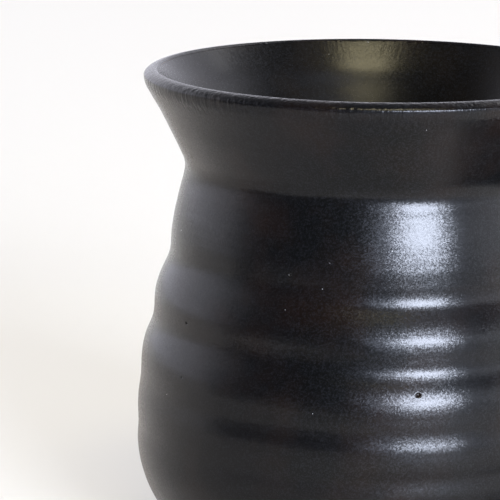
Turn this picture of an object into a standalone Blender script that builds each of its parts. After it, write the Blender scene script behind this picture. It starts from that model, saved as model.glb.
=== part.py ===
"""Empty candle jar: a wheel-thrown stoneware pot with a flared collar and a ribbed belly.

Three fired layers, each its own closed solid: the clay body, the satin black glaze on the
outside and over the lip, and the liner glaze poured inside. The jar stands on its foot ring,
with the origin under the middle of the foot and +Z up. Lengths are metres.
"""
import math

import bmesh
import bpy

MM = 0.001

# Driving dimensions
JAR_HEIGHT = 96.0 * MM
GLAZE_THICKNESS = 0.4 * MM
LAYER_GAP = 0.3 * MM            # air left between two layers, so that the solids never touch
TURN_STEPS = 40                 # flats round the turned outline

# The lip: a soft crest that falls further outwards than inwards
CREST_RADIUS = 42.8 * MM
LIP_OUTER_RADIUS = 45.0 * MM
LIP_OUTER_DROP = 1.3 * MM
LIP_INNER_RADIUS = 41.6 * MM
LIP_INNER_DROP = 1.2 * MM
LIP_STEPS = 3

# The outside, as stations that the potter's rib and fingers left: radius, depth below the
# crest, and how fast the radius grows with depth as the wall comes in to the station from
# above and as it leaves below. The wall between two stations is one smooth curve.
OUTSIDE_STATIONS = (
    # radius     depth      above   below
    (45.0 * MM, 1.3 * MM, 0.00, 0.00),      # outer edge of the lip
    (42.9 * MM, 6.4 * MM, -0.53, -0.53),    # straight flare of the collar
    (37.4 * MM, 17.3 * MM, -0.48, -0.48),
    (37.1 * MM, 19.4 * MM, 0.04, 0.26),     # neck
    (39.87 * MM, 36.2 * MM, -0.05, 0.43),   # first throwing groove
    (42.95 * MM, 44.8 * MM, 0.03, 0.03),
    (43.05 * MM, 48.7 * MM, -0.04, 0.36),   # second
    (45.25 * MM, 54.6 * MM, 0.13, 0.13),
    (45.5 * MM, 60.9 * MM, -0.08, 0.34),    # third
    (46.15 * MM, 65.6 * MM, 0.05, 0.05),    # widest ridge
    (45.88 * MM, 69.5 * MM, -0.28, 0.20),   # fourth groove
    (45.0 * MM, 79.6 * MM, -0.34, -0.34),   # under the belly
    (34.5 * MM, 93.3 * MM, -1.25, -1.25),   # where the glaze was wiped back
)
CURVE_STEPS = (1, 1, 2, 3, 2, 1, 2, 1, 2, 1, 2, 4)      # flats along each of the curves between them

# The inside, in the same form: smoother, since the fingers press less there
INSIDE_STATIONS = (
    (41.6 * MM, 1.2 * MM, 0.00, -0.55),     # inner edge of the lip
    (38.6 * MM, 6.5 * MM, -0.42, -0.42),
    (33.4 * MM, 18.6 * MM, -0.30, -0.30),   # throat
    (35.9 * MM, 35.6 * MM, 0.22, 0.22),
    (41.6 * MM, 60.9 * MM, 0.16, 0.16),
    (40.6 * MM, 78.0 * MM, -0.32, -0.32),
    (35.0 * MM, 87.0 * MM, -1.20, -1.20),   # turn into the floor
)
INSIDE_STEPS = (1, 2, 2, 3, 2, 3)
FLOOR_DEPTH = 90.0 * MM
FLOOR_RADIUS = 29.0 * MM

# The foot ring and the turned recess under it
FOOT_OUTER_RADIUS = 33.2 * MM
FOOT_INNER_RADIUS = 28.0 * MM
FOOT_BEVEL = 0.8 * MM
FOOT_HEIGHT = 2.0 * MM
RECESS_DEPTH = 2.0 * MM
RECESS_RADIUS = 26.5 * MM

# Finishes: colour (linear), roughness, metallic
FINISHES = {
    "stoneware_body": ((0.36, 0.27, 0.19, 1.0), 0.90, 0.0),
    "outer_glaze": ((0.012, 0.012, 0.015, 1.0), 0.38, 0.0),
    "liner_glaze": ((0.020, 0.018, 0.014, 1.0), 0.42, 0.0),
}


def curve_between(start, end, steps):
    """Points (radius, depth) of the smooth wall from one station to the next, end included."""
    r0, d0, _, slope0 = start
    r1, d1, slope1, _ = end
    span = d1 - d0
    points = []
    for step in range(1, steps + 1):
        t = step / steps
        start_weight = 2 * t**3 - 3 * t**2 + 1
        end_weight = 1 - start_weight
        start_pull = t**3 - 2 * t**2 + t
        end_pull = t**3 - t**2
        radius = (start_weight * r0 + end_weight * r1
                  + span * (start_pull * slope0 + end_pull * slope1))
        points.append((radius, d0 + t * span))
    return points


def wall(stations, steps):
    """The whole wall down a list of stations, from just below the first one."""
    points = []
    for start, end, count in zip(stations, stations[1:], steps):
        points += curve_between(start, end, count)
    return points


def lip_arc(radius, drop, steps):
    """Quarter of an ellipse from the crest down to one edge of the lip, both ends included."""
    points = []
    for step in range(steps + 1):
        angle = math.pi / 2 * step / steps
        reach = radius - CREST_RADIUS
        points.append((CREST_RADIUS + reach * math.sin(angle), drop * (1 - math.cos(angle))))
    points[-1] = (radius, drop)
    return points


def inset(points, distance):
    """The outline moved a distance into the wall, square to itself."""
    moved = []
    for index, (radius, depth) in enumerate(points):
        before = points[max(index - 1, 0)]
        after = points[min(index + 1, len(points) - 1)]
        run_r, run_d = after[0] - before[0], after[1] - before[1]
        length = math.hypot(run_r, run_d)
        moved.append((max(radius - distance * run_d / length, 0.0),
                      depth + distance * run_r / length))
    return moved


def turn(name, outline):
    """Spin a closed outline of (radius, depth) points round the Z axis into a named solid."""
    mesh = bmesh.new()
    verts = [mesh.verts.new((radius, 0.0, JAR_HEIGHT - depth)) for radius, depth in outline]
    edges = [mesh.edges.new(pair) for pair in zip(verts, verts[1:] + verts[:1])]
    on_axis = [edge for edge in edges if all(vert.co.x == 0.0 for vert in edge.verts)]
    edges = [edge for edge in edges if edge not in on_axis]
    for edge in on_axis:
        mesh.edges.remove(edge)
    bmesh.ops.spin(mesh, geom=edges, cent=(0, 0, 0), axis=(0, 0, 1),
                   angle=2 * math.pi, steps=TURN_STEPS, use_merge=True)
    bmesh.ops.remove_doubles(mesh, verts=mesh.verts, dist=0.001 * MM)
    bmesh.ops.recalc_face_normals(mesh, faces=mesh.faces)
    data = bpy.data.meshes.new(name)
    mesh.to_mesh(data)
    mesh.free()
    data.shade_smooth()
    data.set_sharp_from_angle(angle=math.radians(35))
    solid = bpy.data.objects.new(name, data)
    bpy.context.scene.collection.objects.link(solid)
    colour, roughness, metallic = FINISHES[name]
    finish = bpy.data.materials.new(name)
    finish.use_nodes = True
    shader = finish.node_tree.nodes["Principled BSDF"]
    shader.inputs["Base Color"].default_value = colour
    shader.inputs["Roughness"].default_value = roughness
    shader.inputs["Metallic"].default_value = metallic
    data.materials.append(finish)
    return solid


def glazed_face():
    """The whole glazed surface: floor, inside wall, lip and outside, as one outline."""
    inner_lip = lip_arc(LIP_INNER_RADIUS, LIP_INNER_DROP, LIP_STEPS)
    inside = inner_lip + wall(INSIDE_STATIONS, INSIDE_STEPS) + [(FLOOR_RADIUS, FLOOR_DEPTH)]
    outside = (lip_arc(LIP_OUTER_RADIUS, LIP_OUTER_DROP, LIP_STEPS)[1:]
               + wall(OUTSIDE_STATIONS, CURVE_STEPS))
    return [(0.0, FLOOR_DEPTH)] + inside[::-1] + outside


def shorten(points, distance):
    """The outline with its last point drawn back a little along its last stretch."""
    (r0, d0), (r1, d1) = points[-2:]
    share = 1 - distance / math.hypot(r1 - r0, d1 - d0)
    return points[:-1] + [(r0 + share * (r1 - r0), d0 + share * (d1 - d0))]


def coat(face):
    """A closed outline round a coat of glaze whose outer surface is the given face."""
    return face + inset(face, GLAZE_THICKNESS)[::-1]


def make_body(face):
    """The clay: everything under the glaze, with the bare foot ring and its recess."""
    foot = [
        (FOOT_OUTER_RADIUS, JAR_HEIGHT - FOOT_HEIGHT),
        (FOOT_OUTER_RADIUS, JAR_HEIGHT - FOOT_BEVEL),
        (FOOT_OUTER_RADIUS - FOOT_BEVEL, JAR_HEIGHT),
        (FOOT_INNER_RADIUS, JAR_HEIGHT),
        (RECESS_RADIUS, JAR_HEIGHT - RECESS_DEPTH),
        (0.0, JAR_HEIGHT - RECESS_DEPTH),
    ]
    turn("stoneware_body", inset(face, GLAZE_THICKNESS + LAYER_GAP) + foot)


def main():
    for old in list(bpy.data.objects):
        bpy.data.objects.remove(old, do_unlink=True)
    face = glazed_face()
    lip_start = face.index((LIP_INNER_RADIUS, LIP_INNER_DROP))
    make_body(face)
    turn("liner_glaze", coat(shorten(face[:lip_start + 1], LAYER_GAP)))
    turn("outer_glaze", coat(face[lip_start:]))


main()
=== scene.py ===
# %% [markdown]
# # An empty stoneware candle jar
# The real jar is one pot, thrown on a wheel, turned at the foot, dipped in a satin black glaze
# and fired. It has a flared collar, a sharp neck and a belly ribbed by the potter's fingers.
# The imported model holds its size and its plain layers. This lesson makes the surface that the
# eye sees: the wall as fingers left it, the glaze on it, and the bare clay under its foot.

import math

import bmesh
import bpy
import numpy as np
from mathutils import Matrix, Vector


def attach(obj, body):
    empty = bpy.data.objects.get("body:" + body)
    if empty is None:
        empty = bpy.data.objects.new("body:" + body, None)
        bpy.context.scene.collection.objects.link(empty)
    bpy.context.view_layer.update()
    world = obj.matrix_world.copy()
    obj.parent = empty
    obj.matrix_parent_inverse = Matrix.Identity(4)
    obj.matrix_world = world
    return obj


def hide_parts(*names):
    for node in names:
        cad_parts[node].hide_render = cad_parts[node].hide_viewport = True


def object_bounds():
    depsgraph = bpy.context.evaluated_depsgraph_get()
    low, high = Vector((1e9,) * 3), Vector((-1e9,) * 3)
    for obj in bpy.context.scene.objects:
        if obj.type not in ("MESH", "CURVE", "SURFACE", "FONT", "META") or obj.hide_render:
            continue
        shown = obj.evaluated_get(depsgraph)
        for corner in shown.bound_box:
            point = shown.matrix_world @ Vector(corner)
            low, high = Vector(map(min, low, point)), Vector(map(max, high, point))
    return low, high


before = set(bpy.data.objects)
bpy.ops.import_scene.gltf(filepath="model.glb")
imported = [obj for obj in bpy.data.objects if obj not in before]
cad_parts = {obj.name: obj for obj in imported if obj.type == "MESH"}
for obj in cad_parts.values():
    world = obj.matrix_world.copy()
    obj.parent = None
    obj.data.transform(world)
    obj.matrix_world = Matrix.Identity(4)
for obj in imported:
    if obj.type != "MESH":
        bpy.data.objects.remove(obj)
CAD_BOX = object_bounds()
print("packed nodes:", sorted(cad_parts))

# %% [markdown]
# All lengths on the jar are written in millimetres, as a potter would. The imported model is
# 96 mm high, so one of its millimetres is its height over 96: if the jar is ever scaled, every
# length here follows it.

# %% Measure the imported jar
JAR_HEIGHT_MM = 96.0
MM = (CAD_BOX[1].z - CAD_BOX[0].z) / JAR_HEIGHT_MM
RIM_CENTRE = Vector((0.0, 0.0, CAD_BOX[1].z))
print(f"jar {CAD_BOX[1].z * 1000:.1f} mm high, {(CAD_BOX[1].x - CAD_BOX[0].x) * 1000:.1f} mm wide")

# %% [markdown]
# ## The outline
# A thrown pot is a turned shape, so one outline says most of it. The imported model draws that
# outline through a few stations, each with a radius, a depth below the lip and the slope of the
# wall above and below it. Where the two slopes differ there is a crease: the groove between two
# finger ridges. The same stations are used here, but with a point every half millimetre, and
# each crease gets the small round that wet clay and melted glaze give it. A Bezier curve drawn by
# hand would do as well, but a station can be moved on its own, and its slope says what it does.

# %% Stations of the wall
CREST_RADIUS = 42.9
LIP_OUTER = (45.0, 1.3)         # radius and depth where the outer side of the lip is upright
OUTSIDE_STATIONS = (
    # radius, depth, slope above, slope below (growth of the radius with depth)
    (45.0, 1.3, 0.00, 0.00),
    (42.9, 6.4, -0.53, -0.53),
    (37.4, 17.3, -0.48, -0.48),
    (37.1, 19.4, 0.04, 0.26),
    (39.87, 36.2, -0.05, 0.43),
    (42.98, 44.6, 0.02, 0.02),
    (43.05, 48.7, -0.05, 0.36),
    (45.25, 54.6, 0.13, 0.13),
    (45.50, 60.9, -0.08, 0.34),
    (46.15, 65.6, 0.05, 0.05),
    (45.88, 69.5, -0.28, 0.20),
    (45.0, 79.6, -0.34, -0.34),
    (34.5, 93.3, -1.25, -1.25),
)
print("stations down the outside:", len(OUTSIDE_STATIONS))

# %% [markdown]
# Between two stations the wall is a Hermite curve: it leaves one and reaches the next with the
# slopes given there. A running average then rounds the creases.

# %% One smooth curve from each station to the next
def wall_radius(stations, depth):
    """Radius of the wall at each depth of an array."""
    rows = np.array(stations)
    first = np.clip(np.searchsorted(rows[:, 1], depth) - 1, 0, len(rows) - 2)
    start, end = rows[first], rows[first + 1]
    span = end[:, 1] - start[:, 1]
    t = (depth - start[:, 1]) / span
    weight = 3 * t**2 - 2 * t**3
    pull = span * (start[:, 3] * (t**3 - 2 * t**2 + t) + end[:, 2] * (t**3 - t**2))
    return (1 - weight) * start[:, 0] + weight * end[:, 0] + pull


def softened(values, reach):
    """Running average of a row of values, which rounds creases and leaves straight runs."""
    kernel = np.hanning(2 * reach + 3)[1:-1]
    padded = np.concatenate([np.full(reach, values[0]), values, np.full(reach, values[-1])])
    return np.convolve(padded, kernel / kernel.sum(), mode="valid")


STEP_MM = 0.5
CREASE_ROUND = 5                # half-millimetre steps on either side of a crease
outside_depth = np.arange(LIP_OUTER[1], OUTSIDE_STATIONS[-1][1], STEP_MM)
outside_radius = wall_radius(OUTSIDE_STATIONS, outside_depth)
softer = softened(outside_radius, CREASE_ROUND)
outside_radius[CREASE_ROUND:-CREASE_ROUND] = softer[CREASE_ROUND:-CREASE_ROUND]
print(f"outside wall: {len(outside_depth)} rows, widest radius {outside_radius.max():.2f} mm")

# %% [markdown]
# ## Made by hand
# Nothing thrown by hand is truly round or level. The rings wander up and down a little as the
# fingers rise, the wall is a hair out of round, and the tips of the fingers leave fine lines.
# All layers of the pot share these errors, so one function bends every layer alike. A Displace
# modifier on each mesh could do it too, but the layers might then cut through each other. The
# function only ever takes away from the radius, so the jar stays inside its packed size.

# %% How the hands bend the turned shape
RING_WANDER = ((1, 0.10, 0.4), (2, 0.12, 2.0), (3, 0.08, 2.72))    # waves per turn, mm, phase
RING_DIP_MM = 1.3               # one place where the fingers sank before they rose again
RING_DIP_FROM = (math.radians(-20), math.radians(6))
RING_DIP_TO = (math.radians(28), math.radians(70))
OUT_OF_ROUND = ((2, 0.10, 0.8), (3, 0.05, 2.1), (5, 0.02, 0.3))
FINGER_LINES = ((2.3, 0.010, 0.7), (1.45, 0.006, 2.9), (4.1, 0.016, 1.3))   # pitch mm, mm, phase
BELLY_IN, BELLY_OUT = (22.0, 34.0), (74.0, 86.0)    # depths where the rings' wander comes and goes
DIP_IN, DIP_OUT = (24.0, 34.0), (44.0, 80.0)        # the same for the one dip
WALL_IN, WALL_OUT = (2.0, 8.0), (88.0, 93.0)        # the lip and the foot stay true


def waves(angle, parts):
    """Sum of a few sine waves round the pot, for an array of angles."""
    return sum(size * np.sin(count * angle + phase) for count, size, phase in parts)


def between(low, high, values):
    """Smooth step from 0 below low to 1 above high."""
    t = np.clip((values - low) / (high - low), 0.0, 1.0)
    return t * t * (3 - 2 * t)


def zone(comes, goes, values):
    """1 from one range to another, with a smooth step across each of them."""
    return between(*comes, values) * (1 - between(*goes, values))


def by_hand(radius, depth, angle):
    """Moves points of the turned shape (mm) to where the potter left them."""
    belly = zone(BELLY_IN, BELLY_OUT, depth)
    sunk = zone(DIP_IN, DIP_OUT, depth)
    dip = zone(RING_DIP_FROM, RING_DIP_TO, angle)
    lowered = depth + belly * waves(angle, RING_WANDER) + sunk * RING_DIP_MM * dip
    # a sine plus one runs from 0 to 2, so the fingers' lines are halved at the end
    lines = sum(size * (1 + np.sin(2 * np.pi * (depth / pitch + angle / (2 * np.pi)) + phase))
                for pitch, size, phase in FINGER_LINES)
    largest = sum(size for _, size, _ in OUT_OF_ROUND)
    oval = largest - waves(angle, OUT_OF_ROUND)
    on_wall = zone(WALL_IN, WALL_OUT, depth)
    away_from_axis = np.clip(radius / CREST_RADIUS, 0.0, 1.0)
    return radius - oval * away_from_axis * on_wall - 0.5 * lines * on_wall, lowered


# %% [markdown]
# ## Turning a mesh
# A Screw modifier could spin the outline, but then every ring would be perfect. Spinning it in
# code instead lets each point pass through `by_hand` first. The outline is a closed loop, so
# the mesh is a closed skin with a real thickness, as a coat of glaze is.

# %% Spin a closed outline into a mesh
ROUND_STEPS = 300
ON_AXIS_MM = 1e-6               # a row nearer to the axis than this is one point


def spin(name, outline, steps=ROUND_STEPS):
    """A closed outline of (radius, depth) rows, spun into a closed mesh shaped by hand."""
    rows = np.array(outline)
    angle = np.linspace(-np.pi, np.pi, steps, endpoint=False)
    on_axis = rows[:, 0] < ON_AXIS_MM
    radius, depth = by_hand(rows[:, :1], rows[:, 1:], angle[None, :])
    depth = np.broadcast_to(depth, radius.shape)
    points, first = [], []
    for row, pole in enumerate(on_axis):
        first.append(len(points))
        if pole:
            points.append((0.0, 0.0, (JAR_HEIGHT_MM - rows[row, 1]) * MM))
            continue
        points += list(zip(radius[row] * np.sin(angle) * MM, -radius[row] * np.cos(angle) * MM,
                           (JAR_HEIGHT_MM - depth[row]) * MM))
    faces = []
    for row in range(len(rows)):
        below = (row + 1) % len(rows)
        if on_axis[row] and on_axis[below]:
            continue
        a, b = first[row], first[below]
        for step in range(steps):
            ahead = (step + 1) % steps
            corners = [a if on_axis[row] else a + step, b if on_axis[below] else b + step,
                       b if on_axis[below] else b + ahead, a if on_axis[row] else a + ahead]
            faces.append(tuple(dict.fromkeys(corners)))
    mesh = bpy.data.meshes.new(name)
    mesh.from_pydata(points, [], faces)
    mesh.update()
    piece = bpy.data.objects.new(name, mesh)
    bpy.context.scene.collection.objects.link(piece)
    return piece


def inset(rows, distance):
    """The outline moved a distance (mm) into the wall, square to itself."""
    rows = np.array(rows)
    run = np.gradient(rows, axis=0)
    run /= np.linalg.norm(run, axis=1)[:, None]
    moved = rows + distance * np.stack([-run[:, 1], run[:, 0]], axis=1)
    moved[:, 0] = np.maximum(moved[:, 0], 0.0)
    return moved


# %% [markdown]
# ## The lip
# The lip has a narrow crest near the inside and falls away outwards, because the potter pinches
# it with a wet chamois and lets it lean out. Two arcs that meet at the crest give it. They are
# ellipses whose sines and cosines are raised to a power above 1: that keeps the crest narrow,
# so that it shows as one thin bright line, and leaves the outer side almost straight. A Bevel
# modifier could round a plain edge, but its section would be part of a circle.

# %% Arcs of the lip
LIP_INNER = (42.2, 0.7)
LIP_INNER_TURN = 65.0           # degrees of the inner half, which runs out into the slope
LIP_STEPS = 18
LIP_PINCH = 1.22                # 1 is a plain ellipse, more pinches the crest


def lip_arc(edge, degrees=90.0):
    """Arc of an ellipse from the crest of the lip towards one edge, as (radius, depth) rows."""
    turn = np.linspace(0.0, math.radians(degrees), LIP_STEPS)
    radius, drop = edge
    return np.stack([CREST_RADIUS + (radius - CREST_RADIUS) * np.sin(turn) ** LIP_PINCH,
                     drop * (1 - np.cos(turn) ** LIP_PINCH)], axis=1)


outside = np.concatenate([lip_arc(LIP_OUTER),
                          np.stack([outside_radius, outside_depth], axis=1)[1:]])
lip_inside = lip_arc(LIP_INNER, LIP_INNER_TURN)
print(f"lip: {LIP_STEPS} rows on each side of the crest")

# %% [markdown]
# ## The inside
# Inside, the fingers press less, so the wall is smooth: it narrows to a throat, widens into the
# belly and turns into a flat floor. It is drawn as the outside was, with a point every
# millimetre, because little of it shows.

# %% The glazed surface from the lip to the middle of the floor
INSIDE_STATIONS = (
    (42.3, 0.4, -0.62, -0.62),
    (38.6, 6.5, -0.42, -0.42),
    (33.4, 18.6, -0.30, -0.30),
    (35.9, 35.6, 0.22, 0.22),
    (41.6, 60.9, 0.16, 0.16),
    (40.6, 78.0, -0.32, -0.32),
    (35.0, 87.0, -1.20, -1.20),
)
INSIDE_STEP_MM = 1.0
FLOOR_TURN = ((34.6, 87.5), (33.2, 88.7), (31.3, 89.6), (29.0, 90.0))     # radius, depth
FLOOR_FLAT, FLOOR_DEPTH, FLOOR_RINGS = 27.0, 90.0, 10
inside_depth = np.arange(lip_inside[-1][1], INSIDE_STATIONS[-1][1], INSIDE_STEP_MM)
inside_wall = np.stack([wall_radius(INSIDE_STATIONS, inside_depth), inside_depth], axis=1)
floor_radius = np.linspace(FLOOR_FLAT, 0.0, FLOOR_RINGS)
floor_rows = np.stack([floor_radius, np.full(FLOOR_RINGS, FLOOR_DEPTH)], axis=1)
inside = np.concatenate([lip_inside, inside_wall[1:], FLOOR_TURN, floor_rows])
print(f"glazed outline: {len(outside)} rows outside, {len(inside)} inside")

# %% [markdown]
# ## The outer coat of glaze
# The jar was dipped upside down in a bucket of glaze, and the foot was wiped with a wet sponge.
# The coat ends there in a soft rolled edge, a little above the clay. It also wraps over the lip.
# A Solidify modifier would give it a thickness, but not the rolled edge. So the outline runs down
# the face, round the edge, and back up under itself, where fewer rows are enough.

# %% Outer coat: outside surface, rolled edge, and back under itself
GLAZE_MM = 0.4
BACK_EVERY = 3                  # the hidden back of a coat keeps every third row
coat_face = np.concatenate([lip_inside[:0:-1], outside])
coat_back = inset(coat_face, GLAZE_MM)


def rolled_edge(face_end, back_end, steps=5):
    """Half round from the end of a coat's face to the end of its back."""
    middle, arm = (face_end + back_end) / 2, (face_end - back_end) / 2
    outward = np.array([arm[1], -arm[0]])
    if outward[1] < 0:
        outward = -outward
    turn = np.linspace(0, np.pi, steps + 2)[1:-1]
    return np.array([middle + arm * math.cos(a) + outward * math.sin(a) for a in turn])


outer_coat = spin("outer_glaze_coat", np.concatenate([
    coat_face, rolled_edge(coat_face[-1], coat_back[-1]), coat_back[::-BACK_EVERY]]))
print("outer coat:", len(outer_coat.data.polygons), "faces")

# %% [markdown]
# ## Pinholes
# Gas that leaves the clay late in the firing pops through the stiff glaze and leaves pinholes.
# Each is a real pit in the mesh. The faces round it are cut finer first, because a pit is as
# small as one face, and then the points inside its edge sink into a round bowl. They are
# scattered by a seeded random draw, with one larger hole at the front. A Voronoi pattern in the
# material could draw dark dots, but they would have no edge to catch the light.

# %% How one pinhole is sunk
PIT_SEED = 11
PIT_COUNT = 30
PIT_RADIUS_MM = (0.14, 0.28)
PITS_BETWEEN = (8.0, 88.0)      # depths below the lip
PIT_DEPTH_MM = 0.30
PIT_CUTS = 5                    # cuts across each face near a pit
PIT_MARGIN_MM = 0.8             # how far past a pit the faces are cut
BOWL_FLAT, BOWL_EDGE = 0.35, 1.3                  # of a pit's radius: flat inside, level outside
FRONT_PIT = (math.radians(10.9), 52.6, 0.42)      # angle round the pot, depth, radius


def wall_place(angle, depth):
    """Point of the outside wall at an angle and a depth."""
    radius, lowered = by_hand(np.interp(depth, outside[LIP_STEPS:, 1], outside[LIP_STEPS:, 0]),
                              np.float64(depth), np.float64(angle))
    return Vector((radius * math.sin(angle), -radius * math.cos(angle),
                   JAR_HEIGHT_MM - lowered)) * MM


def sink_pit(mesh, place, radius):
    """Cuts the faces round a place finer and sinks a round bowl there, sizes in mm."""
    reach = (radius + PIT_MARGIN_MM) * MM
    near = [face for face in mesh.faces if (face.calc_center_median() - place).length < reach
            and face.normal.dot(Vector((place.x, place.y, 0.0))) > 0]
    edges = {edge for face in near for edge in face.edges}
    bmesh.ops.subdivide_edges(mesh, edges=list(edges), cuts=PIT_CUTS, use_grid_fill=True)
    inward = -Vector((place.x, place.y, 0.0)).normalized()
    for vert in mesh.verts:
        away = (vert.co - place).length / (radius * MM)
        if away < BOWL_EDGE:
            bowl = 1.0 - float(between(BOWL_FLAT, BOWL_EDGE, away))
            vert.co += inward * bowl * min(PIT_DEPTH_MM, radius) * MM


# %% Sink the pinholes into the outer coat
draw = np.random.default_rng(PIT_SEED)
pits = [(draw.uniform(-np.pi, np.pi), draw.uniform(*PITS_BETWEEN), draw.uniform(*PIT_RADIUS_MM))
        for _ in range(PIT_COUNT)]
pits.append(FRONT_PIT)
pitted = bmesh.new()
pitted.from_mesh(outer_coat.data)
for angle, depth, radius in pits:
    sink_pit(pitted, wall_place(angle, depth), radius)
pitted.normal_update()
pitted.to_mesh(outer_coat.data)
pitted.free()
print("pinholes:", len(pits))

# %% [markdown]
# ## The liner
# Before the outside is dipped, glaze is poured in, swirled and poured out. It seals the clay,
# so that melted wax can't soak in. It meets the outer coat just inside the lip. One mesh could
# cover both, but this glaze goes on in a step of its own and is a little smoother, so it is a
# piece of its own with a finish of its own.

# %% Liner coat
LAYER_LAP = 0.05                # hair of air between the two coats at the lip
liner_face = inside[LIP_STEPS - 1:].copy()
liner_face[0, 1] += LAYER_LAP
liner_back = inset(liner_face, -GLAZE_MM)
liner_back[-1, 0] = 0.0
liner_coat = spin("liner_glaze_coat", np.concatenate([
    liner_face[::-1], liner_back[::BACK_EVERY], liner_back[-1:]])[::-1])
print("liner coat:", len(liner_coat.data.polygons), "faces")

# %% [markdown]
# ## The clay
# Under the glaze is toasted stoneware. Only its foot shows: a turned ring with softened edges,
# and a shallow recess with the fine grooves of the turning tool. A real tool leaves a spiral.
# Rings of the same pitch look like one, and they come from the outline with nothing else to make.

# %% The turned foot
FOOT_OUTER, FOOT_INNER, FOOT_HEIGHT, FOOT_ROUND = 33.2, 28.0, 2.0, 0.8
FOOT_SHOULDER = ((0.25, -0.2), (0.0, 0.3))        # rows above the foot: how far out, how far down
RECESS_RADIUS, RECESS_DEPTH, RECESS_ROWS = 25.9, 2.0, 110        # a row every quarter millimetre
GROOVE_PITCH, GROOVE_DEPTH = 1.3, 0.07
GROOVES_FADE = (0.5, 3.0)                         # radii where the grooves die out at the middle


def quarter(centre, radius, start, turn, steps=5):
    """Rounded corner as (radius, depth) rows: a quarter circle from a start angle."""
    angles = math.radians(start) + np.linspace(0, math.radians(turn), steps)
    return np.stack([centre[0] + radius * np.cos(angles),
                     centre[1] + radius * np.sin(angles)], axis=1)


base = JAR_HEIGHT_MM
recess_radius = np.linspace(RECESS_RADIUS, 0.0, RECESS_ROWS)
grooves = GROOVE_DEPTH * np.cos(2 * np.pi * recess_radius / GROOVE_PITCH)
grooves *= between(*GROOVES_FADE, recess_radius)
recess = np.stack([recess_radius, base - RECESS_DEPTH + grooves], axis=1)
foot = np.concatenate([
    [(FOOT_OUTER + out, base - FOOT_HEIGHT + down) for out, down in FOOT_SHOULDER],
    quarter((FOOT_OUTER - FOOT_ROUND, base - FOOT_ROUND), FOOT_ROUND, 0, 90),
    quarter((FOOT_INNER + FOOT_ROUND, base - FOOT_ROUND), FOOT_ROUND, 90, 60),
    recess])
print("foot:", len(foot), "rows")

# %% Clay body, from the floor over the lip to the foot
UNDER_GLAZE = GLAZE_MM + 0.06                     # a hair behind the back of the coats
INSIDE_EVERY, OUTSIDE_EVERY = 4, 3                # hidden clay keeps few of the rows
LAST_ROWS = 2                                     # but all of them next to the foot
hidden = np.concatenate([inset(inside[::-INSIDE_EVERY], UNDER_GLAZE),
                         inset(outside[::OUTSIDE_EVERY], UNDER_GLAZE)])
hidden[0, 0] = 0.0
wall_end = inset(outside, UNDER_GLAZE)[-LAST_ROWS:]
clay_body = spin("stoneware_clay", np.concatenate([hidden, wall_end, foot]))
print("clay:", len(clay_body.data.polygons), "faces")

# %% [markdown]
# ## Building a finish
# Every finish here is a small tree of shader nodes. One function adds a node: it names the kind,
# what goes into its sockets (a value, or another node's output) and its settings. Colours are
# written as the sRGB hex values that a colour picker shows, and turned to linear light.

# %% Helpers for the finishes
def linear(hex_colour):
    """Linear RGBA of an sRGB hex colour such as '1c1b1d'."""
    channels = [int(hex_colour[i:i + 2], 16) / 255 for i in (0, 2, 4)]
    return [c / 12.92 if c <= 0.04045 else ((c + 0.055) / 1.055) ** 2.4 for c in channels] + [1.0]


def add_node(tree, kind, sockets=None, **settings):
    """Adds a node, sets it up, and fills or links its input sockets."""
    made = tree.nodes.new(kind)
    for name, value in settings.items():
        setattr(made, name, value)
    for socket, value in (sockets or {}).items():
        if isinstance(value, bpy.types.NodeSocket):
            tree.links.new(value, made.inputs[socket])
        else:
            made.inputs[socket].default_value = value
    return made


def per_metre(size_mm):
    """Texture scale that makes one cell of a pattern as large as a size in millimetres."""
    return 1.0 / (size_mm * MM)


def new_finish(name):
    """An empty material and its tree."""
    finish = bpy.data.materials.new(name)
    finish.use_nodes = True
    finish.node_tree.nodes.clear()
    return finish, finish.node_tree


# %% [markdown]
# ## Satin black glaze
# The real finish is an iron and cobalt black stoneware glaze, dipped, fired to about 1220 C and
# cooled slowly. It is black glass with a skin of tiny crystals. To the eye that is a dark body,
# reflections as soft as on satin, and a fine glitter at the edge of every bright reflection.
# One rough mirror would give the softness and lose the glitter. So the shader has two layers
# of gloss: the glass, and over about a third of it the duller crystals, as a coat. A Voronoi
# pattern cuts the surface into crystals, and each cell's random colour tilts the normal of that
# cell by a few degrees. Real crystals are near 0.05 mm wide. They are drawn four times as wide
# here, because anything finer blends into plain satin at the size that the jar is seen.
# The IOR of such a glaze is about 1.5, which reflects 4 percent head-on. Here the glass is set
# lower, to match the dark of the jar, and the coat makes up for part of it: both together
# reflect a little over 3 percent.

# %% Sizes of the satin black glaze
CRYSTAL_MM = 0.19               # real ones are about 0.05 mm, and too fine to show
CRYSTAL_SHARE = 0.30            # how much of the glass the crystals cover
CRYSTAL_DULLNESS = 0.285
GLASS_IOR, CRYSTAL_IOR = 1.34, 1.50
SMOOTHER, ROUGHER = 0.04, 0.05  # how far the glass of one cell differs in roughness

# %% [markdown]
# Two slow patterns shape the coat, and both come from the dipping: a swell where it is a little
# thicker or thinner, and thin vertical runs under the lip. Bump is enough for them, because they
# are a tenth of a millimetre deep or less and only reflections tell of them.

# %% Swell and runs of a dipped coat
SWELL_MM, SWELL_RELIEF_MM = 6.0, 0.03
SWELL_ROUGHNESS = 0.4
RUN_MM, RUN_LONGER = 0.7, 10.0                      # width of a run, and its length over that
RUNS_END_MM, RUNS_FULL_MM = 6.5, 1.5                # depths below the lip


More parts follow.
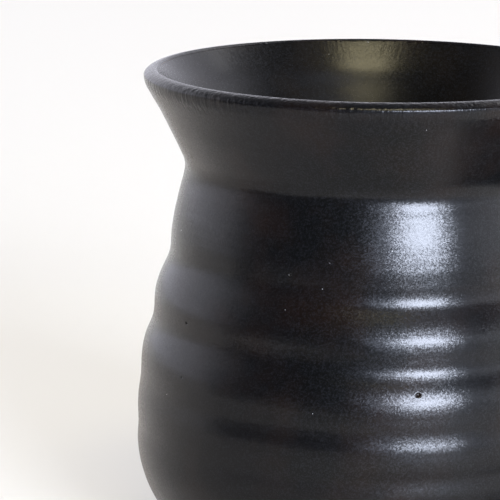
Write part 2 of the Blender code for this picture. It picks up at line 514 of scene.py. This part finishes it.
def dipped_surface(tree, place, run_relief_mm):
    """Normal of a dipped coat, with runs of a given depth under the lip."""
    swell = add_node(tree, "ShaderNodeTexNoise", {
        "Vector": place, "Scale": per_metre(SWELL_MM), "Detail": 2.0,
        "Roughness": SWELL_ROUGHNESS})
    slow = add_node(tree, "ShaderNodeBump", {
        "Height": swell.outputs["Fac"], "Distance": SWELL_RELIEF_MM * MM})
    drawn = add_node(tree, "ShaderNodeVectorMath", {
        0: place, 1: (1.0, 1.0, 1.0 / RUN_LONGER)}, operation="MULTIPLY")
    runs = add_node(tree, "ShaderNodeTexNoise", {
        "Vector": drawn.outputs["Vector"], "Scale": per_metre(RUN_MM), "Detail": 2.0})
    height = add_node(tree, "ShaderNodeSeparateXYZ", {"Vector": place}).outputs["Z"]
    lip_zone = add_node(tree, "ShaderNodeMapRange", {
        "Value": height, "From Min": (JAR_HEIGHT_MM - RUNS_END_MM) * MM,
        "From Max": (JAR_HEIGHT_MM - RUNS_FULL_MM) * MM}, interpolation_type="SMOOTHSTEP")
    running = add_node(tree, "ShaderNodeMath", {
        0: runs.outputs["Fac"], 1: lip_zone.outputs["Result"]}, operation="MULTIPLY")
    streaked = add_node(tree, "ShaderNodeBump", {
        "Height": running.outputs["Value"], "Distance": run_relief_mm * MM,
        "Normal": slow.outputs["Normal"]})
    return streaked.outputs["Normal"]


# %% [markdown]
# The crystals lean by their cell's random colour. Half is taken off each of its channels, so that
# they lean to all sides alike, and the lean is added to the normal of the coat.

# %% Skin of crystals
def crystal_skin(tree, place, normal, tilt):
    """Random colour of each crystal, and its normal."""
    crystal = add_node(tree, "ShaderNodeTexVoronoi", {
        "Vector": place, "Scale": per_metre(CRYSTAL_MM)})
    lean = add_node(tree, "ShaderNodeVectorMath", {
        0: crystal.outputs["Color"], 1: (0.5, 0.5, 0.5)}, operation="SUBTRACT")
    leaning = add_node(tree, "ShaderNodeVectorMath", {
        0: lean.outputs["Vector"], 1: (tilt, tilt, tilt), 2: normal}, operation="MULTIPLY_ADD")
    facet = add_node(tree, "ShaderNodeVectorMath", {
        0: leaning.outputs["Vector"]}, operation="NORMALIZE")
    return crystal.outputs["Color"], facet.outputs["Vector"]


# %% [markdown]
# The colour is black, with brown patches where iron breaks through. Some crystals are a little
# paler than the glass, and a few pale specks are unmelted ash.

# %% Colour of the glaze
IRON_MM, IRON_FROM, IRON_TO = 14.0, 0.45, 0.85      # size of the patches, and where they set in
PALE_FROM, PALE_SHARE, PALE_CRYSTAL = 0.5, 0.20, "35373c"
SPECK_MM, SPECK_RADIUS_MM, ASH = 6.4, 0.11, "c9cacc"        # spacing and size of the specks


def glaze_colour(tree, place, chance, body, iron):
    """Black that breaks brown, with crystals made paler by their chance value, and specks."""
    patches = add_node(tree, "ShaderNodeTexNoise", {
        "Vector": place, "Scale": per_metre(IRON_MM), "Detail": 3.0})
    breaking = add_node(tree, "ShaderNodeMapRange", {
        "Value": patches.outputs["Fac"], "From Min": IRON_FROM, "From Max": IRON_TO})
    colour = add_node(tree, "ShaderNodeMix", {
        0: breaking.outputs["Result"], 6: linear(body), 7: linear(iron)}, data_type="RGBA")
    pale = add_node(tree, "ShaderNodeMapRange", {
        "Value": chance, "From Min": PALE_FROM, "From Max": 1.0, "To Max": PALE_SHARE})
    grained = add_node(tree, "ShaderNodeMix", {
        0: pale.outputs["Result"], 6: colour.outputs[2], 7: linear(PALE_CRYSTAL)},
        data_type="RGBA")
    scatter = add_node(tree, "ShaderNodeTexVoronoi", {
        "Vector": place, "Scale": per_metre(SPECK_MM)})
    speck = add_node(tree, "ShaderNodeMath", {
        0: scatter.outputs["Distance"], 1: SPECK_RADIUS_MM / SPECK_MM}, operation="LESS_THAN")
    specked = add_node(tree, "ShaderNodeMix", {
        0: speck.outputs["Value"], 6: grained.outputs[2], 7: linear(ASH)}, data_type="RGBA")
    return specked.outputs[2]


# %% Satin black glaze, outside and inside
def satin_black_glaze(name, roughness, tilt, run_relief_mm, body, iron):
    """Glass under crystals that lean by tilt, over a dipped coat."""
    finish, tree = new_finish(name)
    place = add_node(tree, "ShaderNodeTexCoord").outputs["Object"]
    normal = dipped_surface(tree, place, run_relief_mm)
    crystal_colour, facet = crystal_skin(tree, place, normal, tilt)
    grain = add_node(tree, "ShaderNodeSeparateColor", {"Color": crystal_colour})
    uneven = add_node(tree, "ShaderNodeMapRange", {
        "Value": grain.outputs["Green"], "To Min": roughness - SMOOTHER,
        "To Max": roughness + ROUGHER})
    shader = add_node(tree, "ShaderNodeBsdfPrincipled", {
        "Base Color": glaze_colour(tree, place, grain.outputs["Red"], body, iron),
        "Roughness": uneven.outputs["Result"], "IOR": GLASS_IOR, "Normal": facet,
        "Coat Weight": CRYSTAL_SHARE, "Coat Roughness": CRYSTAL_DULLNESS,
        "Coat IOR": CRYSTAL_IOR, "Coat Normal": facet})
    add_node(tree, "ShaderNodeOutputMaterial", {"Surface": shader.outputs["BSDF"]})
    return finish


outer_finish = satin_black_glaze("satin_black_glaze", 0.22, 0.085, 0.14, "060607", "1a0f0a")
liner_finish = satin_black_glaze("black_liner_glaze", 0.23, 0.03, 0.03, "080706", "1a1510")
print("finishes:", outer_finish.name, liner_finish.name)

# %% [markdown]
# ## Toasted stoneware
# Bare iron-bearing stoneware fires to a warm grey brown. It is matte, because it is full of
# fine grog and sand that the sponge brought up, with a few dark specks of burnt-out iron. Noise
# makes the toasting and the grit, and a Voronoi pattern makes the specks, because they are round.

# %% Bare stoneware
GROG_MM, GRIT_RELIEF_MM = 0.5, 0.08
TOAST_MM = 14.0                 # patches of lighter and darker toasting
IRON_SPOT_MM = 2.2              # spacing of the dark specks
IRON_SPOT_CORE, IRON_SPOT_EDGE = 0.06, 0.12       # of that spacing


def bare_stoneware(name):
    """Matte clay with grit, toasting and specks of iron."""
    finish, tree = new_finish(name)
    place = add_node(tree, "ShaderNodeTexCoord").outputs["Object"]
    grog = add_node(tree, "ShaderNodeTexNoise", {
        "Vector": place, "Scale": per_metre(GROG_MM), "Detail": 4.0, "Roughness": 0.7})
    toast = add_node(tree, "ShaderNodeTexNoise", {
        "Vector": place, "Scale": per_metre(TOAST_MM), "Detail": 3.0})
    warm = add_node(tree, "ShaderNodeMix", {
        0: toast.outputs["Fac"], 6: linear("8a6d52"), 7: linear("b3977a")}, data_type="RGBA")
    iron = add_node(tree, "ShaderNodeTexVoronoi", {
        "Vector": place, "Scale": per_metre(IRON_SPOT_MM)}, feature="F1")
    speck = add_node(tree, "ShaderNodeMapRange", {
        "Value": iron.outputs["Distance"], "From Min": IRON_SPOT_CORE,
        "From Max": IRON_SPOT_EDGE, "To Min": 1.0, "To Max": 0.0})
    colour = add_node(tree, "ShaderNodeMix", {
        0: speck.outputs["Result"], 6: warm.outputs[2], 7: linear("3b2a20")}, data_type="RGBA")
    grit = add_node(tree, "ShaderNodeBump", {
        "Height": grog.outputs["Fac"], "Strength": 1.0,
        "Distance": GRIT_RELIEF_MM * MM})
    shader = add_node(tree, "ShaderNodeBsdfPrincipled", {
        "Base Color": colour.outputs[2], "Roughness": 0.9, "IOR": 1.5,
        "Normal": grit.outputs["Normal"]})
    add_node(tree, "ShaderNodeOutputMaterial", {"Surface": shader.outputs["BSDF"]})
    return finish


clay_finish = bare_stoneware("toasted_stoneware")
print("finish:", clay_finish.name)

# %% [markdown]
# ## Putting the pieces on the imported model
# Each piece stands for one packed layer, takes its finish, and rides on the one body of the jar.
# The layers never move against each other, because a fired pot is one thing.

# %% Finish each piece and hand it over
SMOOTH_UP_TO = math.radians(50)
LAYERS = (
    (outer_coat, outer_finish, "outer_glaze", "satin_black_glaze"),
    (liner_coat, liner_finish, "liner_glaze", "liner_glaze"),
    (clay_body, clay_finish, "stoneware_body", "stoneware"),
)
for piece, finish, node_name, slot_name in LAYERS:
    piece.data.materials.append(finish)
    piece.data.shade_smooth()
    piece.data.set_sharp_from_angle(angle=SMOOTH_UP_TO)
    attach(piece, "root")
    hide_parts(node_name)
print("pieces on the jar:", len(LAYERS))

# %% [markdown]
# ## The studio
# Black glaze shows what it mirrors, so a studio for it is mostly about what stands round it. A
# pale table runs far back and is also the backdrop. The world is bright behind the jar and dim
# in front of it. It could be an HDR picture, but two smooth ramps are enough and stay soft.

# %% Table
TABLE_RADIUS, TABLE_SIDES = 2.4, 96
MATT_GLOSS = 0.2                # specular level of painted and paper surfaces
table_mesh = bmesh.new()
bmesh.ops.create_circle(table_mesh, cap_ends=True, segments=TABLE_SIDES,
                         radius=TABLE_RADIUS)
table_data = bpy.data.meshes.new("table")
table_mesh.to_mesh(table_data)
table_mesh.free()
table = bpy.data.objects.new("table", table_data)
bpy.context.scene.collection.objects.link(table)
table_finish, table_tree = new_finish("pale_table")
table_shader = add_node(table_tree, "ShaderNodeBsdfPrincipled", {
    "Base Color": linear("efede8"), "Roughness": 0.8, "Specular IOR Level": MATT_GLOSS})
add_node(table_tree, "ShaderNodeOutputMaterial", {"Surface": table_shader.outputs["BSDF"]})
table_data.materials.append(table_finish)
print(f"table {2 * TABLE_RADIUS:.1f} m across")

# %% [markdown]
# A photographer lays cards on the table to shape reflections. The same is done here, and two of
# the cards are painted shadow: grey near the jar, where its own shadow lies, and black at the
# lower right, a painted shadow beside the jar. Black further towards the camera stands where the
# table ends.
# The grey one is painted a little darker round a place at the left front, a painted shade which
# keeps the left side of the belly from going pale. Only glossy rays see the cards, so they never
# show and cast no shade.

# %% Cards on the table
CARD_LIFT = 0.001
# centre and spread of the painted shade on the cards
SHADE_CENTRE = (-0.12, -0.10, 0.0)               # a card may be darker round this place
SHADE_CORE, SHADE_EDGE = 0.06, 0.19


def table_card(name, corners, painted_shade_colour, colour, layer=1):
    """Card flat on the table that only the gloss of the glaze sees, corners as (x, y);
    painted_shade_colour is painted shade round SHADE_CENTRE.
    """
    data = bpy.data.meshes.new(name)
    data.from_pydata([(x, y, layer * CARD_LIFT) for x, y in corners], [], [range(len(corners))])
    finish, tree = new_finish(name)
    place = add_node(tree, "ShaderNodeTexCoord").outputs["Object"]
    away = add_node(tree, "ShaderNodeVectorMath", {
        0: place, 1: SHADE_CENTRE}, operation="DISTANCE").outputs["Value"]
    lit = add_node(tree, "ShaderNodeMapRange", {
        "Value": away, "From Min": SHADE_CORE, "From Max": SHADE_EDGE})
    tone = add_node(tree, "ShaderNodeMix", {
        0: lit.outputs["Result"], 6: linear(painted_shade_colour), 7: linear(colour)}, data_type="RGBA")
    shader = add_node(tree, "ShaderNodeBsdfPrincipled", {
        "Base Color": tone.outputs[2], "Roughness": 0.9, "Specular IOR Level": MATT_GLOSS})
    add_node(tree, "ShaderNodeOutputMaterial", {"Surface": shader.outputs["BSDF"]})
    data.materials.append(finish)
    card = bpy.data.objects.new(name, data)
    bpy.context.scene.collection.objects.link(card)
    card.visible_camera = False
    card.visible_diffuse = False
    card.visible_shadow = False


table_card("dark_card", [(-1.6, -1.9), (1.2, -1.9), (1.2, -0.27), (-0.30, -0.27),
                         (-0.30, -0.08), (-1.6, -0.08)], "303033", "303033")
# painted shadow: the jar's shadow on the table near it, painted darker still round SHADE_CENTRE
table_card("painted_shadow_card", [(-0.30, -0.27), (0.25, -0.27), (0.25, -0.066), (0.0615, -0.066),
                         (0.0, -0.048), (-0.048, -0.048), (-0.048, 0.25), (-0.7, 0.25),
                         (-0.7, -0.08), (-0.30, -0.08)], "b0aca8", "d5d0ca")
# painted shadow on the table beside the jar at the lower right, seen only in the glaze
table_card("painted_side_shadow", [(0.060, -0.076), (0.320, 0.074), (0.320, 0.300), (0.060, 0.080)],
           "18181a", "18181a", layer=2)

# %% [markdown]
# The world is brightest behind the jar, so its edges are rimmed with light, and falls to dim in
# front of it. Overhead it is dim too, which keeps the upward sides of the ridges dark. Camera rays
# see an even pale backdrop instead.

# %% Room light
ROOM_BRIGHT, ROOM_DIM, CEILING_SHARE = 1.42, 0.06, 0.12
BRIGHTENS = (-0.42, 0.30)       # from the front (-1) to the back (1) of the room
DIMS = (0.34, 0.84)             # from the horizon (0) to straight overhead (1)
world = bpy.data.worlds.new("room")
bpy.context.scene.world = world
world.use_nodes = True
room = world.node_tree
room.nodes.clear()
direction = add_node(room, "ShaderNodeTexCoord").outputs["Generated"]
towards = add_node(room, "ShaderNodeSeparateXYZ", {"Vector": direction})
openness = add_node(room, "ShaderNodeMapRange", {
    "Value": towards.outputs["Y"], "From Min": BRIGHTENS[0], "From Max": BRIGHTENS[1],
    "To Min": ROOM_DIM, "To Max": ROOM_BRIGHT}, interpolation_type="SMOOTHSTEP")
ceiling = add_node(room, "ShaderNodeMapRange", {
    "Value": towards.outputs["Z"], "From Min": DIMS[0], "From Max": DIMS[1],
    "To Min": 1.0, "To Max": CEILING_SHARE}, interpolation_type="SMOOTHSTEP")
strength = add_node(room, "ShaderNodeMath", {
    0: openness.outputs["Result"], 1: ceiling.outputs["Result"]}, operation="MULTIPLY")
seen = add_node(room, "ShaderNodeLightPath").outputs["Is Camera Ray"]
light = add_node(room, "ShaderNodeBackground", {
    "Color": linear("efeffb"), "Strength": strength.outputs["Value"]})
backdrop = add_node(room, "ShaderNodeBackground", {"Color": linear("fafaf9"), "Strength": 1.0})
both = add_node(room, "ShaderNodeMixShader", {
    0: seen, 1: light.outputs["Background"], 2: backdrop.outputs["Background"]})
add_node(room, "ShaderNodeOutputWorld", {"Surface": both.outputs["Shader"]})


# %% [markdown]
# Each softbox is one thing that the glaze mirrors: a window on the right, with a thin curtain
# of light to its left, a pale wall at the far right, a warm lamp with its glow high in front,
# which the inside of the collar shows, and a dim light behind on the right. The back light
# lifts the table only.

# %% Softboxes
JAR_MIDDLE = Vector((0.0, 0.0, 0.055))            # metres, where every softbox is aimed


def softbox(name, bearing, rise, distance, width, height, radiance, colour):
    """Area light aimed at the jar: bearing is degrees right of the front, rise degrees up."""
    turn, lift = math.radians(bearing), math.radians(rise)
    way = Vector((math.sin(turn) * math.cos(lift), -math.cos(turn) * math.cos(lift),
                  math.sin(lift)))
    lamp = bpy.data.lights.new(name, "AREA")
    lamp.shape = "RECTANGLE"
    lamp.size, lamp.size_y = width, height
    lamp.energy = radiance * width * height * math.pi
    lamp.color = linear(colour)[:3]
    box = bpy.data.objects.new(name, lamp)
    box.location = JAR_MIDDLE + way * distance
    box.rotation_euler = way.to_track_quat("Z", "Y").to_euler()
    box.visible_camera = False
    bpy.context.scene.collection.objects.link(box)
    return box


# name, bearing, rise, distance, width, height, radiance, colour
softbox("window", 26.4, 12.8, 1.6, 0.70, 0.52, 41.0, "dde6fa")
softbox("curtain", 6.0, 11.5, 1.6, 0.40, 0.58, 2.2, "d8e4ff")
softbox("right_wall", 84.0, 8.0, 1.7, 1.9, 0.8, 1.6, "e8ecf6")
softbox("lamp", 9.5, 57.5, 1.6, 0.56, 0.42, 8.0, "fff2c4")
softbox("lamp_glow", 8.0, 45.0, 1.6, 0.46, 0.30, 2.2, "fff2c4")
softbox("side_light", 128.0, 46.0, 1.6, 0.9, 0.7, 1.6, "f4f4f6")
back_light = softbox("back_light", 184.0, 52.0, 3.2, 1.6, 1.2, 9.3, "fbfbff")
back_light.visible_glossy = False
print("softboxes:", len(bpy.data.lights))

# %% [markdown]
# ## The camera
# A long lens from a little above, with the jar off to the right and cropped by the frame. A
# short lens from close by would open the oval of the mouth more and bend the outline.

# %% Camera
CAMERA_DISTANCE = 0.6744        # from the middle of the rim
CAMERA_RISE = math.radians(8.142)
CAMERA_TURN, CAMERA_TILT, CAMERA_ROLL = 2.0793, 11.1329, 0.5844         # degrees
camera_data = bpy.data.cameras.new("camera")
camera_data.sensor_width = 36.0
camera_data.lens = 252.0        # both in millimetres
camera = bpy.data.objects.new("camera", camera_data)
camera.location = RIM_CENTRE + CAMERA_DISTANCE * Vector((0.0, -math.cos(CAMERA_RISE),
                                                         math.sin(CAMERA_RISE)))
camera.rotation_euler = (Matrix.Rotation(math.radians(CAMERA_TURN), 3, "Z")
                         @ Matrix.Rotation(math.radians(90.0 - CAMERA_TILT), 3, "X")
                         @ Matrix.Rotation(math.radians(CAMERA_ROLL), 3, "Z")).to_euler()
bpy.context.scene.collection.objects.link(camera)
bpy.context.scene.camera = camera
bpy.context.scene.view_settings.view_transform = "Standard"
